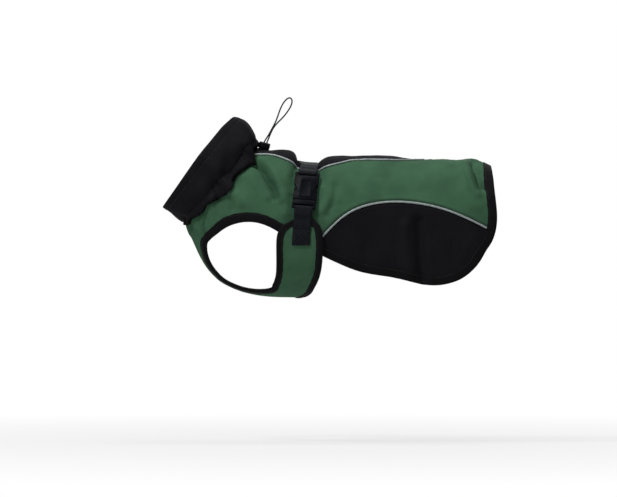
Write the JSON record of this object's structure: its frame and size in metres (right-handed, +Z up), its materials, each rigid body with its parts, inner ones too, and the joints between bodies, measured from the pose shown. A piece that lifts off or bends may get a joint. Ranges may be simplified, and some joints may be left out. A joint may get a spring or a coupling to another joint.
{
  "type": "dog winter coat",
  "caption": "Hollow softshell dog coat in its worn shape: high gathered collar with drawcord, back and belly panels, open leg holes, and a webbing girth strap with side buckles.",
  "frame": {"origin": "on the spine, at the inner face of the back under the girth strap, where the wearer's back carries the coat", "axes": "-X towards the wearer's head, +X towards the tail, +Y to the wearer's right, +Z up"},
  "size_m": [0.4679, 0.1586, 0.2829],
  "materials": {
    "green_softshell": "matt woven softshell, light grey fleece inside",
    "black_softshell": "matt woven softshell, light grey fleece inside",
    "black_tape": "ribbed binding tape",
    "black_webbing": "woven nylon webbing",
    "silver_reflective": "silver retroreflective piping",
    "black_plastic": "fine-grained acetal",
    "grey_elastic": "braided elastic cord"
  },
  "bodies": {
    "coat": {"spine_panel": "black_softshell", "side_panel_left": "green_softshell", "side_panel_right": "green_softshell", "flank_panel_left": "black_softshell", "flank_panel_right": "black_softshell", "chest_panel": "green_softshell", "collar": "black_softshell", "hem_binding": "black_tape", "chest_binding": "black_tape", "spine_piping_left": "silver_reflective", "spine_piping_right": "silver_reflective", "flank_piping_left": "silver_reflective", "flank_piping_right": "silver_reflective", "back_strap": "black_webbing", "wing_strap_left": "black_webbing", "wing_strap_right": "black_webbing", "buckle_female_left": "black_plastic", "buckle_female_right": "black_plastic", "buckle_male_left": "black_plastic", "buckle_male_right": "black_plastic", "cord_lock_body": "black_plastic", "drawcord_loop": "grey_elastic"},
    "lock_plunger": {"cord_lock_plunger": "black_plastic"}
  },
  "joints": [
    {"name": "lock_plunger_press", "type": "slide", "parent": "coat", "child": "lock_plunger", "axis": [0, 1, 0], "range_m": [0, 0.003], "stiffness_N_per_m": 60, "springref_m": -0.003}
  ]
}
